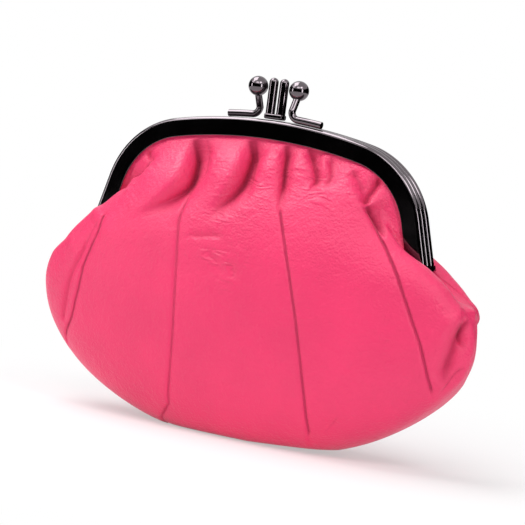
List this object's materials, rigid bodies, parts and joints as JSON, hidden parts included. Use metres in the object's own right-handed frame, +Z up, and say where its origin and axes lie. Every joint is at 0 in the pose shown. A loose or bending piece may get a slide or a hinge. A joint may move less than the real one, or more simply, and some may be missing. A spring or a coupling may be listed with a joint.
{
  "type": "coin purse",
  "caption": "Gathered leather coin purse with two lined compartments, a three-bar hinged frame and a ball-and-rod kiss-lock clasp.",
  "frame": {"origin": "on the floor, under the middle of the purse", "axes": "+X along the frame to the right, +Y from the front of the purse to its back, +Z up"},
  "size_m": [0.1384, 0.0406, 0.1021],
  "materials": {
    "pink_leather": "soft nappa with a satin sheen",
    "gunmetal": "polished black nickel plating",
    "lining_cloth": "plain woven black lining",
    "paper_cord": "twisted paper"
  },
  "bodies": {
    "pouch": {"back_gore_centre": "pink_leather", "back_gore_far_left": "pink_leather", "back_gore_far_right": "pink_leather", "back_gore_left": "pink_leather", "back_gore_right": "pink_leather", "back_pouch_lining": "lining_cloth", "catch_base": "gunmetal", "divider_panel": "lining_cloth", "front_gore_centre": "pink_leather", "front_gore_far_left": "pink_leather", "front_gore_far_right": "pink_leather", "front_gore_left": "pink_leather", "front_gore_right": "pink_leather", "front_pouch_lining": "lining_cloth", "left_catch_rod": "gunmetal", "left_hinge_rivet": "gunmetal", "middle_frame": "gunmetal", "middle_frame_cord": "paper_cord", "right_catch_rod": "gunmetal", "right_hinge_rivet": "gunmetal"},
    "front_bar": {"front_frame": "gunmetal", "front_frame_cord": "paper_cord", "front_clasp_stem": "gunmetal", "front_clasp_ball": "gunmetal", "front_mouth_leather": "pink_leather", "front_mouth_lining": "lining_cloth"},
    "back_bar": {"back_frame": "gunmetal", "back_frame_cord": "paper_cord", "back_clasp_stem": "gunmetal", "back_clasp_ball": "gunmetal", "back_mouth_leather": "pink_leather", "back_mouth_lining": "lining_cloth"}
  },
  "joints": [
    {"name": "front_bar_hinge", "type": "hinge", "parent": "pouch", "child": "front_bar", "pos_m": [0, 0, 0.05], "axis": [1, 0, 0], "range_deg": [0, 55], "deforming": ["front_mouth_leather", "front_mouth_lining"]},
    {"name": "back_bar_hinge", "type": "hinge", "parent": "pouch", "child": "back_bar", "pos_m": [0, 0, 0.05], "axis": [-1, 0, 0], "range_deg": [0, 55], "deforming": ["back_mouth_leather", "back_mouth_lining"]}
  ]
}
